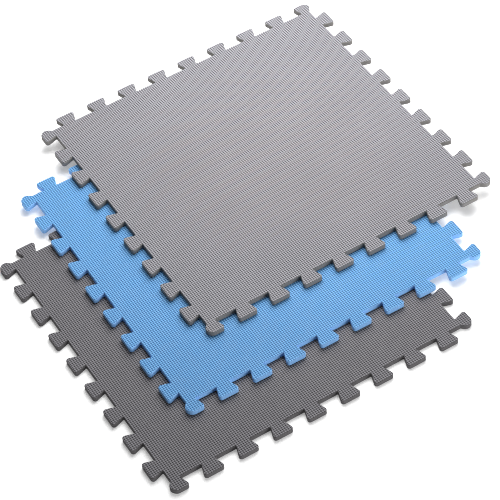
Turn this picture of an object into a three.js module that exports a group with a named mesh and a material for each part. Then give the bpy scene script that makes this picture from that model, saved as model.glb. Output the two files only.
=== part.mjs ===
// Blocking mats: three interlocking foam tiles, lying on each other in a fanned stack.
// Millimetres, +Z up. Origin: the centre of the bottom mat's underside. X and Y run along its sides.
import * as THREE from 'three';

// Driving dimensions of one mat.
const MODULE = 600; // side of the square that one mat covers once it is joined to others
const TABS_PER_SIDE = 9; // eight whole tabs and one corner tab
const THICKNESS = 10;
const TAB_LENGTH = 24;
const TAB_TIP_WIDTH = 41;
const JOINING_PLAY = 0.3; // how much wider a socket is than the tab that it takes
const TIP_RADIUS = 5;
const NECK_RADIUS = 1.2;
const CORNER_RADIUS = 11; // rounds the outer end of a corner tab into a bulb
const ARC_STEPS = 2; // three.js draws an arc with twice this many straight steps

// How the mats lie on each other.
const REST_GAP = 0.3; // the raised weave keeps two faces this far apart
const MIDDLE_SHIFT = [101.7, 114.2];
const MIDDLE_TURN = -0.57; // degrees
const TOP_SHIFT = [107.6, 123.8]; // along the middle mat's sides
const TOP_TURN = -MIDDLE_TURN; // the top mat lies square with the bottom one

// Worked out from them.
const PITCH = MODULE / TABS_PER_SIDE;
const TAB_NECK_WIDTH = PITCH - TAB_TIP_WIDTH - JOINING_PLAY;
const CORE_HALF = (MODULE - TAB_LENGTH) / 2; // half of the plain square inside the tabs
const FIRST_TAB = (0.5 - TABS_PER_SIDE / 2) * PITCH - PITCH / 4; // the corner tab's middle along its side
const STEP_UP = THICKNESS + REST_GAP;

// A corner of the outline: a point on the side that faces -Y, and the radius that rounds it.
function corner(along, out, radius) {
  return { point: new THREE.Vector2(along, -CORE_HALF - out), radius };
}

// The corner tab: its outer end points at the corner of the module, where four mats meet.
function cornerTab() {
  return [
    corner(-CORE_HALF, 0, NECK_RADIUS),
    corner(-MODULE / 2, TAB_LENGTH / 2, CORNER_RADIUS),
    corner(-CORE_HALF, TAB_LENGTH, CORNER_RADIUS),
    corner(FIRST_TAB + TAB_TIP_WIDTH / 2, TAB_LENGTH, TIP_RADIUS),
    corner(FIRST_TAB + TAB_NECK_WIDTH / 2, 0, NECK_RADIUS),
  ];
}

// A whole dovetail tab, wider at its tip than at its neck.
function wholeTab(middle) {
  return [
    corner(middle - TAB_NECK_WIDTH / 2, 0, NECK_RADIUS),
    corner(middle - TAB_TIP_WIDTH / 2, TAB_LENGTH, TIP_RADIUS),
    corner(middle + TAB_TIP_WIDTH / 2, TAB_LENGTH, TIP_RADIUS),
    corner(middle + TAB_NECK_WIDTH / 2, 0, NECK_RADIUS),
  ];
}

// One side's corners. The same side turned by quarter turns makes the whole mat.
function sideCorners() {
  const corners = cornerTab();
  for (let tab = 1; tab < TABS_PER_SIDE; tab += 1) {
    corners.push(...wholeTab(FIRST_TAB + tab * PITCH));
  }
  return corners;
}

function matCorners() {
  const middle = new THREE.Vector2(0, 0);
  const corners = [];
  for (let side = 0; side < 4; side += 1) {
    for (const { point, radius } of sideCorners()) {
      corners.push({ point: point.rotateAround(middle, side * Math.PI / 2), radius });
    }
  }
  return corners;
}

// A closed outline, run anticlockwise, with each corner replaced by an arc of its radius.
function roundedShape(corners) {
  const shape = new THREE.Shape();
  corners.forEach(({ point, radius }, i) => {
    const before = corners.at(i - 1).point;
    const after = corners[(i + 1) % corners.length].point;
    const back = before.clone().sub(point).normalize();
    const on = after.clone().sub(point).normalize();
    const halfAngle = Math.acos(back.dot(on)) / 2;
    const start = point.clone().addScaledVector(back, radius / Math.tan(halfAngle));
    const end = point.clone().addScaledVector(on, radius / Math.tan(halfAngle));
    const inward = back.clone().add(on).normalize();
    const centre = point.clone().addScaledVector(inward, radius / Math.sin(halfAngle));
    const turnsRight = back.cross(on) > 0;
    if (i === 0) {
      shape.moveTo(start.x, start.y);
    }
    shape.absarc(
      centre.x,
      centre.y,
      radius,
      start.sub(centre).angle(),
      end.sub(centre).angle(),
      turnsRight,
    );
  });
  shape.closePath();
  return shape;
}

function mat(name, colour) {
  const geometry = new THREE.ExtrudeGeometry(roundedShape(matCorners()), {
    depth: THICKNESS,
    bevelEnabled: false,
    curveSegments: ARC_STEPS,
  });
  const material = new THREE.MeshStandardMaterial({ color: colour, roughness: 0.9, metalness: 0 });
  const mesh = new THREE.Mesh(geometry, material);
  mesh.name = name;
  return mesh;
}

// A mat's place on the one below it: a step up, a shift and a small turn.
function onTop(shift, turn, ...contents) {
  const group = new THREE.Group();
  group.position.set(shift[0], shift[1], STEP_UP);
  group.rotation.z = THREE.MathUtils.degToRad(turn);
  group.add(...contents);
  return group;
}

const topMat = onTop(TOP_SHIFT, TOP_TURN, mat('top_mat', '#9c9a9d'));
const middleMat = onTop(MIDDLE_SHIFT, MIDDLE_TURN, mat('middle_mat', '#5fa4dc'), topMat);

const blockingMats = new THREE.Group();
blockingMats.add(mat('bottom_mat', '#58565a'), middleMat);

export default blockingMats;
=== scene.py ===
"""Blocking mats: three die-cut foam tiles with an embossed weave, lying on each other in a fanned stack."""

import math
from dataclasses import dataclass

import bpy
import numpy as np
from mathutils import Matrix, Vector
from mathutils.kdtree import KDTree


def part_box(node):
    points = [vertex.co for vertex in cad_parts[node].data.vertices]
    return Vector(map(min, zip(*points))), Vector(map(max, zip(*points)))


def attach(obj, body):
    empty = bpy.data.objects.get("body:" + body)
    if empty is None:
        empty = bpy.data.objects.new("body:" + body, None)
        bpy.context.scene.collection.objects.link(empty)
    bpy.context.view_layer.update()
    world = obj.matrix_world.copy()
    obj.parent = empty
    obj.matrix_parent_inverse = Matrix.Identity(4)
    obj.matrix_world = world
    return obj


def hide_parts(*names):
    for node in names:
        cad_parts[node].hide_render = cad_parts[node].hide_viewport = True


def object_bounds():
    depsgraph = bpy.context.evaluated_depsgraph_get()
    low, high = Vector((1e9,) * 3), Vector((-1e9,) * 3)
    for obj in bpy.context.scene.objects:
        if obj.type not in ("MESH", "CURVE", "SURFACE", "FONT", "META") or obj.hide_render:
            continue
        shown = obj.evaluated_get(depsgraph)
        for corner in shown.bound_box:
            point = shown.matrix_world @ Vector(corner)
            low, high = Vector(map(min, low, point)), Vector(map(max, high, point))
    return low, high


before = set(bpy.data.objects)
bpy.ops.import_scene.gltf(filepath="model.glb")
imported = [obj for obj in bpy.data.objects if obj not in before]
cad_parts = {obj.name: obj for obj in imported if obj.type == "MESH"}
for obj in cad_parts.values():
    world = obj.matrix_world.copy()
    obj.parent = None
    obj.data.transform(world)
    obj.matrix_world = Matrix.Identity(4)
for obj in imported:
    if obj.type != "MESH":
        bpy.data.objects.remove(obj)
cad_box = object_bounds()

MM = 0.001

# The embossed weave: two sets of ridges that pass over and under each other.
CELL = (4.3 * MM, 4.1 * MM)  # one crossing of two ridges
WEAVE_DEPTH = 0.8 * MM
LIFT_SPREAD = 0.05 * MM  # how unevenly the ridges stand
RIDGE_REACH = 0.12  # how far a ridge's end runs into the next crossing, in cells

# The cut edge, as (height above the underside, how far the wall stands in), for a mat 10 mm thick.
WALL_PROFILE = [
    (0.00 * MM, 0.45 * MM),
    (0.15 * MM, 0.12 * MM),
    (0.60 * MM, 0.00 * MM),
    (4.50 * MM, 0.22 * MM),
    (7.60 * MM, 0.00 * MM),
    (8.60 * MM, 0.15 * MM),
    (9.40 * MM, 0.60 * MM),
    (10.40 * MM, 1.90 * MM),
]
ARC_STEP = 5 * MM  # shorter runs of the CAD outline are steps of an arc
STRAIGHT_STEP = 12 * MM  # straight runs are split to this
LINE_RATIO = 2  # a run this much longer than the next one is a straight line that meets an arc
LONG_SHARE = 0.7  # runs longer than this share of the longest lie along the mat's sides
EDGE_STEP = 1 * MM  # how closely the cut edge is sampled, to measure the distance to it
CREASE = math.radians(40)  # folds sharper than this stay sharp
RIM_WIDTH = 5 * MM  # how far wear reaches in from the cut edge

# Each mat's materials, in this order.
FACE, WALL, UNDERSIDE = range(3)
FOAM_SPECULAR = 0.35  # duller than plain plastic, which is 0.5


@dataclass
class Foam:
    """A mat's colours, as sRGB, and how many cells of the weave into its foam sheet it was cut.

    The two counts are whole and their sum is even, so that the colours stay in step with the mesh's weave.
    """
    node: str
    body: str
    slot: str
    # crest: the foam's own colour, made lighter to paint the highlight that the crests catch
    crest: str
    # pit: painted shade, near black, for the hollows of the weave; the cut wall's pores and the underside's
    # pinholes are darkened towards it too
    pit: str
    # wall: partly the cut foam's own tone, partly painted light and shade: set for each mat, lighter on the
    # blue mat and darker on the light grey one, to stand in for the light the walls get
    wall: str
    sheet_cells: tuple
    seed: int


MATS = [
    Foam("bottom_mat", "bottom", "dark_grey_foam", "#7c7a7f", "#050505", "#535153", (0, 0), 1),
    Foam("middle_mat", "middle", "blue_foam", "#6ba8da", "#184478", "#86b9f0", (232, 98), 2),
    Foam("top_mat", "top", "light_grey_foam", "#95949a", "#131214", "#7b7977", (536, 292), 3),
]


# ---------------------------------------------------------------- outline

def outline_of(node):
    """The corners of a CAD mat's top face, in order, as an array of x and y."""
    mesh = node.data
    corners = [tuple(round(c, 6) for c in v.co) for v in mesh.vertices]
    top = max(c[2] for c in corners)
    edges = set()
    for polygon in mesh.polygons:
        ring = [corners[i] for i in polygon.vertices]
        if min(c[2] for c in ring) == top:
            edges.update(zip(ring, ring[1:] + ring[:1]))
    following = {a: b for a, b in edges if (b, a) not in edges}
    loop = [min(following)]
    while following[loop[-1]] != loop[0]:
        loop.append(following[loop[-1]])
    return np.array(loop)[:, :2]


def turn_of(loop):
    """How far a mat is turned. Its long runs lie quarter turns apart, so four times their angles agree."""
    run = np.roll(loop, -1, axis=0) - loop
    run = run[:, 0] + 1j * run[:, 1]
    length = np.abs(run)
    long_runs = run[length > LONG_SHARE * length.max()]
    return np.angle(np.sum(long_runs ** 4)) / 4


def turned(points, angle):
    """Points in the plane, turned about the origin."""
    c, s = math.cos(angle), math.sin(angle)
    return points @ np.array([[c, s], [-s, c]])


def unit(vectors):
    """Each vector, made one long."""
    return vectors / np.linalg.norm(vectors, axis=1, keepdims=True)


def finer(loop):
    """The outline with a point on the curve in the middle of each arc step, and with long runs split."""
    run = np.roll(loop, -1, axis=0) - loop
    length = np.linalg.norm(run, axis=1)
    before, length_before = np.roll(run, 1, axis=0), np.roll(length, 1)
    tangent = unit(unit(before) + unit(run))
    leaves_line = length_before > LINE_RATIO * length
    meets_line = length > LINE_RATIO * length_before
    tangent[leaves_line] = unit(before)[leaves_line]
    tangent[meets_line] = unit(run)[meets_line]
    points = []
    for i in range(len(loop)):
        j = (i + 1) % len(loop)
        points.append(loop[i])
        if length[i] < ARC_STEP:
            bow = (tangent[i] - tangent[j]) * length[i] / 8  # how far a curve stands out from its chord
            points.append((loop[i] + loop[j]) / 2 + bow)
        else:
            parts = math.ceil(length[i] / STRAIGHT_STEP)
            points.extend(loop[i] + run[i] * k / parts for k in range(1, parts))
    return np.array(points)


def outward(loop):
    """What to add at each point of an anticlockwise outline to move both its sides out by one."""
    run = unit(np.roll(loop, -1, axis=0) - loop)
    before = np.roll(run, 1, axis=0)
    direction = unit(run + before)
    normal = np.stack([direction[:, 1], -direction[:, 0]], axis=1)
    return normal / np.sum(direction * run, axis=1, keepdims=True)


# ---------------------------------------------------------------- mesh

def weave_height(u, v):
    """How high the weave stands, 0 in a pit and 1 on a crest, at a place given in cells."""
    i, j = np.floor(u), np.floor(v)
    a, b = u - i - 0.5, v - j - 0.5
    along_y = (1 - 4 * a * a) * (0.5 + 0.5 * np.cos(np.pi * (b + i + j)))
    along_x = (1 - 4 * b * b) * (0.5 + 0.5 * np.cos(np.pi * (a + i + j + 1)))
    return np.maximum(along_x, along_y)


def mesh_object(name, points, faces, slots=None):
    """A mesh object from an array of points and lists of faces."""
    mesh = bpy.data.meshes.new(name)
    mesh.from_pydata(points.tolist(), [], faces)
    if slots is not None:
        mesh.polygons.foreach_set("material_index", slots)
    mesh.update()
    obj = bpy.data.objects.new(name, mesh)
    bpy.context.scene.collection.objects.link(obj)
    return obj


def weave_points(cells, thickness, seed):
    """The weave as a grid of points, two steps to a cell. Its crests reach up to the mat's full thickness."""
    steps = [np.arange(-2 * n, 2 * n + 1) / 2 for n in cells]
    u, v = np.meshgrid(*steps, indexing="ij")
    lift = np.random.default_rng(seed).normal(0, LIFT_SPREAD, u.shape)
    z = thickness - WEAVE_DEPTH * (1 - weave_height(u, v)) - np.abs(lift)
    # Halfway between two crests one ridge dives under the other, whose end runs on a little.
    side_x = (u % 1 == 0) & (v % 1 == 0.5)
    side_y = (v % 1 == 0) & (u % 1 == 0.5)
    over = np.where((np.floor(u) + np.floor(v)) % 2 == 0, 1, -1)
    x = (u + np.where(side_x, RIDGE_REACH * over, 0)) * CELL[0]
    y = (v - np.where(side_y, RIDGE_REACH * over, 0)) * CELL[1]
    return np.stack([x, y, z], axis=-1)


def grid_faces(number):
    """Two triangles for each square of a grid of point numbers, split from the square's crest to its pit."""
    columns = number.shape[1]
    a, b = number[:-1, :-1].ravel(), number[1:, :-1].ravel()
    c, d = number[1:, 1:].ravel(), number[:-1, 1:].ravel()
    crest_or_pit = (a // columns + a % columns) % 2 == 0
    return np.where(
        crest_or_pit[:, None],
        np.stack([a, b, c, a, c, d], axis=1),
        np.stack([a, b, d, b, c, d], axis=1),
    ).reshape(-1, 3).tolist()


def woven_slab(half, thickness, seed):
    """A closed slab, larger than the mat on every side but the top, which is the weave."""
    cells = [math.ceil(half / size) + 1 for size in CELL]
    grid = weave_points(cells, thickness, seed)
    top = grid.reshape(-1, 3)
    number = np.arange(len(top)).reshape(grid.shape[:2])
    border = np.concatenate([number[:, 0], number[-1, 1:], number[-2::-1, -1], number[0, -2:0:-1]])
    low = top[border] * (1, 1, 0) - (0, 0, thickness)
    base = len(top) + np.arange(len(border))
    faces = grid_faces(number)
    faces += np.stack([border, base, np.roll(base, -1), np.roll(border, -1)], axis=1).tolist()
    faces.append(base[::-1].tolist())
    return mesh_object("woven_slab", np.concatenate([top, low]), faces)


def cutter(loop, name):
    """The space the die cuts out: the outline stood up along the wall's profile, closed above and below."""
    normal = outward(loop)
    rings = [np.column_stack([loop - normal * inset, np.full(len(loop), z)]) for z, inset in WALL_PROFILE]
    count, number = len(loop), np.arange(len(loop))
    after = np.roll(number, -1)
    walls = [
        np.stack([number, after, after + count, number + count], axis=1) + k * count
        for k in range(len(rings) - 1)
    ]
    faces = np.concatenate(walls).tolist()
    faces.append(number[::-1].tolist())
    faces.append((number + (len(rings) - 1) * count).tolist())
    slots = [WALL] * (len(faces) - 2) + [UNDERSIDE, WALL]
    return mesh_object(name, np.concatenate(rings), faces, slots)


def cut(obj, tool):
    """Keeps what the two closed meshes share."""
    boolean = obj.modifiers.new("cut", "BOOLEAN")
    boolean.operation = "INTERSECT"
    boolean.solver = "MANIFOLD"
    boolean.object = tool
    graph = bpy.context.evaluated_depsgraph_get()
    mesh = bpy.data.meshes.new_from_object(obj.evaluated_get(graph), depsgraph=graph)
    obj.modifiers.clear()
    obj.data = mesh
    bpy.data.objects.remove(tool)


def store_places(obj, loop, shift):
    """Stores each vertex's place in its foam sheet, and how near the cut edge it is, from 1 down to 0."""
    mesh = obj.data
    co = np.empty(len(mesh.vertices) * 3, np.float32)
    mesh.vertices.foreach_get("co", co)
    co = co.reshape(-1, 3)
    place = mesh.attributes.new("place", "FLOAT_VECTOR", "POINT")
    place.data.foreach_set("vector", (co + np.float32([*shift, 0])).ravel())

    tree = KDTree(len(loop))
    for i, (x, y) in enumerate(loop):
        tree.insert((x, y, 0), i)
    tree.balance()
    distance = np.array([tree.find((x, y, 0))[2] for x, y, _ in co.tolist()])
    rim = mesh.attributes.new("rim", "FLOAT", "POINT")
    rim.data.foreach_set("value", np.clip(1 - distance / RIM_WIDTH, 0, 1).astype(np.float32))


def dense(loop, step):
    """Points all along an outline, at most a step apart."""
    run = np.roll(loop, -1, axis=0) - loop
    parts = np.ceil(np.linalg.norm(run, axis=1) / step).astype(int)
    return np.concatenate([loop[i] + run[i] * np.arange(n)[:, None] / n for i, n in enumerate(parts)])


def foam_mat(foam):
    """One mat, in place of its CAD node: the slab of foam, cut to the node's outline."""
    low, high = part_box(foam.node)
    centre = (low + high) / 2
    cad_loop = outline_of(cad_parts[foam.node])
    turn = turn_of(cad_loop)
    loop = finer(turned(cad_loop - np.array(centre[:2]), -turn))
    mat = woven_slab(np.abs(loop).max(), high.z - low.z, foam.seed)
    cut(mat, cutter(loop, foam.node + "_outline"))
    mat.name = mat.data.name = foam.node + "_foam"
    shift = [count * size for count, size in zip(foam.sheet_cells, CELL)]
    store_places(mat, dense(loop, EDGE_STEP), shift)
    mat.matrix_world = Matrix.Translation((centre.x, centre.y, low.z)) @ Matrix.Rotation(turn, 4, "Z")
    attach(mat, foam.body)
    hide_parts(foam.node)
    return mat


# ---------------------------------------------------------------- materials

def linear(hex_colour):
    """An sRGB colour such as #8a878b as the linear colour that a node takes."""
    parts = [int(hex_colour[k:k + 2], 16) / 255 for k in (1, 3, 5)]
    return (*[p / 12.92 if p <= 0.04045 else ((p + 0.055) / 1.055) ** 2.4 for p in parts], 1)


NOISE_RANGE = (0.25, 0.75)  # most values of a noise lie in it
# Between these heights the painted shade of the pits turns into the crest colour with its painted highlight.
PIT_TO_CREST = (0.2, 0.85)  # the weave heights between which a pit's colour turns into a crest's


class Shader:
    """One material's node tree, with a short call for each kind of node that the foam needs."""

    def __init__(self, name):
        self.material = bpy.data.materials.new(name)
        self.material.use_nodes = True
        self.nodes = self.material.node_tree.nodes
        self.links = self.material.node_tree.links
        self.surface = self.nodes["Principled BSDF"]

    def add(self, kind, inputs=(), **settings):
        """A new node, with values or other nodes' outputs for its inputs."""
        node = self.nodes.new(kind)
        for key, value in settings.items():
            setattr(node, key, value)
        for key, value in dict(inputs).items():
            self.put(node.inputs[key], value)
        return node

    def put(self, socket, value):
        """Gives a socket a plain value, or joins another node's output to it."""
        if isinstance(value, bpy.types.NodeSocket):
            self.links.new(value, socket)
        else:
            socket.default_value = value

    def math(self, operation, *values):
        return self.add("ShaderNodeMath", enumerate(values), operation=operation).outputs[0]

    def attribute(self, name, output):
        return self.add("ShaderNodeAttribute", attribute_name=name).outputs[output]

    def noise(self, place, size, detail=2.0, stretch=(1, 1, 1)):
        """Noise from 0 to 1 whose lumps are about size across, in metres."""
        scaled = self.add(
            "ShaderNodeVectorMath",
            {0: place, 1: tuple(s / size for s in stretch)},
            operation="MULTIPLY",
        )
        settings = {"Vector": scaled.outputs[0], "Scale": 1.0, "Detail": detail}
        return self.add("ShaderNodeTexNoise", settings).outputs[0]

    def cells(self, place, size):
        """Distance from the middle of the nearest foam cell, in cell sizes."""
        node = self.add("ShaderNodeTexVoronoi", {"Vector": place, "Scale": 1 / size})
        return node.outputs["Distance"]

    def remap(self, value, low, high, to_low=0.0, to_high=1.0, smooth=False):
        """The value taken from the range low to high to another range, and held at its ends."""
        node = self.add(
            "ShaderNodeMapRange",
            {"Value": value, "From Min": low, "From Max": high, "To Min": to_low, "To Max": to_high},
            interpolation_type="SMOOTHSTEP" if smooth else "LINEAR",
        )
        return node.outputs["Result"]

    def mix(self, share, first, second):
        """Two colours mixed: a share of 0 gives the first, 1 the second."""
        node = self.add("ShaderNodeMix", data_type="RGBA")
        # A mix node has sockets for every data type, so its colour sockets are known by their numbers.
        for number, value in ((0, share), (6, first), (7, second)):
            self.put(node.inputs[number], value)
        return node.outputs[2]

    def tinted(self, colour, *layers):
        """The colour made darker and lighter by layers, each a noise and the largest share it changes."""
        for noise, spread in layers:
            factor = self.remap(noise, *NOISE_RANGE, 1 - spread, 1 + spread)
            scaled = self.add("ShaderNodeVectorMath", {0: colour, "Scale": factor}, operation="SCALE")
            colour = scaled.outputs[0]
        return colour

    def relief(self, *layers):
        """A bump that adds up layers, each a pattern from 0 to 1 and the height it stands, in metres."""
        height = 0.0
        for pattern, size in layers:
            height = self.math("MULTIPLY_ADD", pattern, size, height)
        return self.add("ShaderNodeBump", {"Height": height, "Distance": 1.0}).outputs["Normal"]

    def finish(self, colour, roughness, normal):
        """Sets the surface, and gives the material."""
        self.put(self.surface.inputs["Base Color"], colour)
        self.put(self.surface.inputs["Roughness"], roughness)
        self.put(self.surface.inputs["Normal"], normal)
        self.put(self.surface.inputs["Specular IOR Level"], FOAM_SPECULAR)
        return self.material


def weave_nodes(shader, place):
    """The same weave as weave_height, worked out in the material, for detail finer than the mesh."""
    parts = shader.add("ShaderNodeSeparateXYZ", {0: place}).outputs
    cell, inside = [], []
    for part, size in zip(parts[:2], CELL):
        count = shader.math("DIVIDE", part, size)
        whole = shader.math("FLOOR", count)
        cell.append(whole)
        inside.append(shader.math("SUBTRACT", shader.math("SUBTRACT", count, whole), 0.5))
    order = shader.math("ADD", *cell)

    def ridge(across, along, turn):
        square = shader.math("POWER", across, 2.0)
        rounded = shader.math("SUBTRACT", 1.0, shader.math("MULTIPLY", square, 4.0))
        phase = shader.math("ADD", shader.math("ADD", along, order), turn)
        angle = shader.math("MULTIPLY", phase, math.pi)
        wave = shader.math("MULTIPLY_ADD", shader.math("COSINE", angle), 0.5, 0.5)
        return shader.math("MULTIPLY", rounded, wave)

    return shader.math("MAXIMUM", ridge(*inside, 0.0), ridge(*reversed(inside), 1.0))


def embossed_face(foam):
    """The woven top: pits darkened with painted shade, crests lightened with a painted highlight, a fine
    grain, and scuffs along the cut edge.
    """
    s = Shader(foam.node + "_face")
    place = s.attribute("place", "Vector")
    weave = weave_nodes(s, place)
    grain = s.noise(place, size=0.5 * MM)
    smudge = s.noise(place, size=14 * MM)
    shade = s.noise(place, size=120 * MM, detail=3)
    patches = s.remap(s.noise(place, size=9 * MM), 0.45, 0.7)
    scuff = s.math("MULTIPLY", s.attribute("rim", "Fac"), patches)

    # Painted shade in the pits and a painted highlight on the crests, following the weave's height.
    colour = s.mix(s.remap(weave, *PIT_TO_CREST, smooth=True), linear(foam.pit), linear(foam.crest))
    colour = s.tinted(colour, (grain, 0.05), (smudge, 0.03), (shade, 0.04))
    colour = s.mix(s.math("MULTIPLY", scuff, 0.35), colour, linear(foam.crest))
    roughness = s.remap(weave, 0.0, 1.0, 0.9, 0.6)
    roughness = s.math("ADD", roughness, s.remap(smudge, 0.3, 0.7, -0.06, 0.06))
    relief = s.relief((weave, 0.25 * MM), (grain, 0.06 * MM))
    return s.finish(colour, roughness, relief)


def cut_wall(foam):
    """The die-cut edge: a colour that holds painted light and shade, open foam cells darkened with painted
    shade, and faint marks that the blade dragged down the wall.
    """
    s = Shader(foam.node + "_wall")
    place = s.attribute("place", "Vector")
    pore = s.remap(s.cells(place, size=0.7 * MM), 0.05, 0.45, smooth=True)
    grain = s.noise(place, size=0.4 * MM)
    drag = s.noise(place, size=1.5 * MM, stretch=(1, 1, 0.08))
    shade = s.noise(place, size=40 * MM)

    # Painted shade: the middle of each pore is darkened towards the pit shade.
    colour = s.mix(s.remap(pore, 0.0, 1.0, 0.3, 0.0), linear(foam.wall), linear(foam.pit))
    colour = s.tinted(colour, (grain, 0.07), (drag, 0.025), (shade, 0.04))
    roughness = s.remap(grain, 0.3, 0.7, 0.74, 0.92)
    relief = s.relief((pore, 0.10 * MM), (grain, 0.08 * MM), (drag, 0.04 * MM))
    return s.finish(colour, roughness, relief)


def smooth_underside(foam):
    """The smooth skin underneath, in the wall colour with its painted light and shade: mottled, with pinholes
    darkened by painted shade, a slight ripple and the lines of the rollers.
    """
    s = Shader(foam.node + "_underside")
    place = s.attribute("place", "Vector")
    pinhole = s.remap(s.cells(place, size=3.5 * MM), 0.05, 0.16)
    ripple = s.noise(place, size=4 * MM)
    grain = s.noise(place, size=0.6 * MM)
    mottle = s.noise(place, size=28 * MM, detail=4)
    rolled = s.noise(place, size=6 * MM, stretch=(1, 0.03, 1))
    shade = s.noise(place, size=160 * MM, detail=3)

    # Painted shade: each pinhole is darkened towards the pit shade.
    colour = s.mix(s.remap(pinhole, 0.0, 1.0, 0.6, 0.0), linear(foam.wall), linear(foam.pit))
    colour = s.tinted(colour, (grain, 0.05), (ripple, 0.04), (rolled, 0.06), (mottle, 0.08), (shade, 0.08))
    roughness = s.remap(mottle, 0.3, 0.7, 0.42, 0.62)
    relief = s.relief(
        (pinhole, 0.08 * MM),
        (ripple, 0.15 * MM),
        (rolled, 0.10 * MM),
        (grain, 0.03 * MM),
    )
    return s.finish(colour, roughness, relief)


def sharpen_seams(mesh):
    """Marks every edge between two materials as sharp, so that the weave doesn't shade the cut wall."""
    count = len(mesh.edges)
    edge_of_corner = np.empty(len(mesh.loops), np.int32)
    mesh.loops.foreach_get("edge_index", edge_of_corner)
    slots = np.empty(len(mesh.polygons), np.int32)
    mesh.polygons.foreach_get("material_index", slots)
    sides = np.empty(len(mesh.polygons), np.int32)
    mesh.polygons.foreach_get("loop_total", sides)
    slot_of_corner = np.repeat(slots, sides)
    lowest = np.full(count, UNDERSIDE)
    highest = np.full(count, FACE)
    np.minimum.at(lowest, edge_of_corner, slot_of_corner)
    np.maximum.at(highest, edge_of_corner, slot_of_corner)
    sharp = mesh.attributes["sharp_edge"].data
    folded = np.empty(count, bool)
    sharp.foreach_get("value", folded)
    sharp.foreach_set("value", folded | (lowest != highest))


def finish_mat(mat, foam):
    """Gives a mat its three materials and its shading."""
    mesh = mat.data
    mesh.materials[FACE] = embossed_face(foam)  # the cut leaves this one slot, and it is empty
    mesh.materials.append(cut_wall(foam))
    mesh.materials.append(smooth_underside(foam))
    mesh.shade_smooth()
    mesh.set_sharp_from_angle(angle=CREASE)
    sharpen_seams(mesh)


# ---------------------------------------------------------------- stage

WHITE = (1, 1, 1, 1)
FLOOR_SIZE = 30.0
FLOOR_COLOUR = (0.93, 0.93, 0.93, 1)
FLOOR_ROUGHNESS = 0.9
FLOOR_SPECULAR = 0.1
FLOOR_GLOW = 0.26
WORLD_LIGHT = 0.18
# The softboxes light the floor only around the stack. Seen by the camera, it is evened out further away.
FLOOR_FADE = (0.7, 2.4)  # metres from the stack's middle
FLOOR_FAR_GLOW = 0.55
BACKDROP = 0.93

# Where the camera looks from: degrees round from the front, above the horizon and tilted, then metres.
CAMERA_AZIMUTH = -26.84
CAMERA_ELEVATION = 48.08
CAMERA_ROLL = -6.1
CAMERA_DISTANCE = 3.64
CAMERA_LENS = 147.0  # mm, on a sensor 36 mm wide
CAMERA_REACH = 100.0  # how far the camera sees
AIM_SHIFT = (-0.0264, -0.0557, 0.0)  # what the camera looks at, from the middle of the stack
PIXEL_FILTER = 1.1  # sharper than Blender's 1.5, so that the weave keeps its contrast


@dataclass
class Softbox:
    """A lamp that faces the middle of the stack: its direction in degrees, then metres and watts."""
    name: str
    azimuth: float
    elevation: float
    distance: float
    size: tuple
    power: float


# The key hangs close above the back corner, so the stack gets darker towards the front.
SOFTBOXES = [
    Softbox("key", 138, 57, 1.05, (1.2, 1.2), 28),
    Softbox("fill", 16, 11, 3.0, (1.8, 1.0), 50),
]


def direction(azimuth, elevation):
    """The direction that has this azimuth and elevation, in degrees. Azimuth 0 is on the -Y side."""
    a, e = math.radians(azimuth), math.radians(elevation)
    return Vector((math.sin(a) * math.cos(e), -math.cos(a) * math.cos(e), math.sin(e)))


def look_at(obj, place, target, roll=0.0):
    """Puts a camera or light at a place, facing a target."""
    facing = (target - place).to_track_quat("-Z", "Y").to_matrix().to_4x4()
    obj.matrix_world = Matrix.Translation(place) @ facing @ Matrix.Rotation(math.radians(roll), 4, "Z")


def add_camera(middle):
    """The scene's camera, aimed near the middle of the stack."""
    camera = bpy.data.objects.new("camera", bpy.data.cameras.new("camera"))
    bpy.context.scene.collection.objects.link(camera)
    camera.data.lens = CAMERA_LENS
    camera.data.clip_end = CAMERA_REACH
    target = middle + Vector(AIM_SHIFT)
    place = target + CAMERA_DISTANCE * direction(CAMERA_AZIMUTH, CAMERA_ELEVATION)
    look_at(camera, place, target, CAMERA_ROLL)
    bpy.context.scene.camera = camera


def add_softbox(box, middle):
    """A softbox that lights the stack but isn't seen by the camera."""
    light = bpy.data.lights.new(box.name, "AREA")
    light.shape = "RECTANGLE"
    light.size, light.size_y = box.size
    light.energy = box.power
    lamp = bpy.data.objects.new(box.name, light)
    lamp.visible_camera = False
    bpy.context.scene.collection.objects.link(lamp)
    look_at(lamp, middle + box.distance * direction(box.azimuth, box.elevation), middle)


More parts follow.
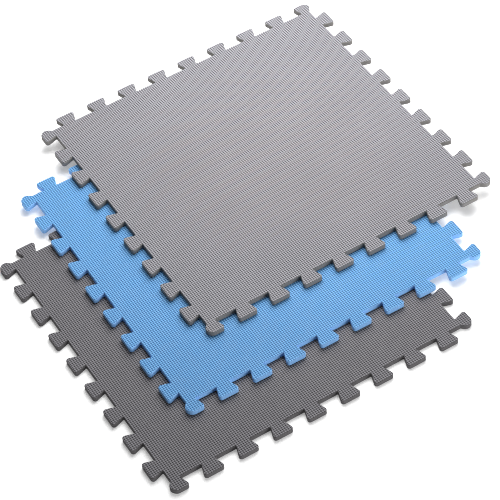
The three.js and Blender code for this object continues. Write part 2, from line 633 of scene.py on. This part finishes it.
def pale_floor(middle):
    """A white floor that glows a little, and for the camera more so further from the stack."""
    s = Shader("pale_floor")
    place = s.add("ShaderNodeNewGeometry").outputs["Position"]
    away = s.add("ShaderNodeVectorMath", {0: place, 1: middle}, operation="DISTANCE").outputs["Value"]
    seen = s.add("ShaderNodeLightPath").outputs["Is Camera Ray"]
    even = s.remap(away, *FLOOR_FADE, 0.0, FLOOR_FAR_GLOW, smooth=True)
    s.put(s.surface.inputs["Base Color"], FLOOR_COLOUR)
    s.put(s.surface.inputs["Roughness"], FLOOR_ROUGHNESS)
    s.put(s.surface.inputs["Specular IOR Level"], FLOOR_SPECULAR)
    s.put(s.surface.inputs["Emission Color"], WHITE)
    s.put(s.surface.inputs["Emission Strength"], s.math("MULTIPLY_ADD", seen, even, FLOOR_GLOW))
    return s.material


def add_floor(middle):
    """The floor that the bottom mat lies on."""
    half = FLOOR_SIZE / 2
    corners = np.array([(-half, -half, 0), (half, -half, 0), (half, half, 0), (-half, half, 0)])
    floor = mesh_object("floor", corners, [(0, 1, 2, 3)])
    floor.data.materials.append(pale_floor(middle))


def add_world():
    """Even white light from all round. The camera sees it brighter, as the pale backdrop."""
    world = bpy.data.worlds.new("studio")
    world.use_nodes = True
    nodes, links = world.node_tree.nodes, world.node_tree.links
    strength = nodes.new("ShaderNodeMapRange")
    strength.inputs["To Min"].default_value = WORLD_LIGHT
    strength.inputs["To Max"].default_value = BACKDROP
    links.new(nodes.new("ShaderNodeLightPath").outputs["Is Camera Ray"], strength.inputs["Value"])
    nodes["Background"].inputs["Color"].default_value = WHITE
    links.new(strength.outputs["Result"], nodes["Background"].inputs["Strength"])
    bpy.context.scene.world = world


def set_picture():
    """How the picture is taken from the scene: plain colours, without noise."""
    scene = bpy.context.scene
    scene.view_settings.view_transform = "Standard"
    scene.cycles.use_denoising = True
    scene.cycles.filter_width = PIXEL_FILTER


for foam in MATS:
    finish_mat(foam_mat(foam), foam)

stack_middle = sum(cad_box, Vector()) / 2
add_floor(stack_middle)
add_world()
for softbox in SOFTBOXES:
    add_softbox(softbox, stack_middle)
add_camera(stack_middle)
set_picture()
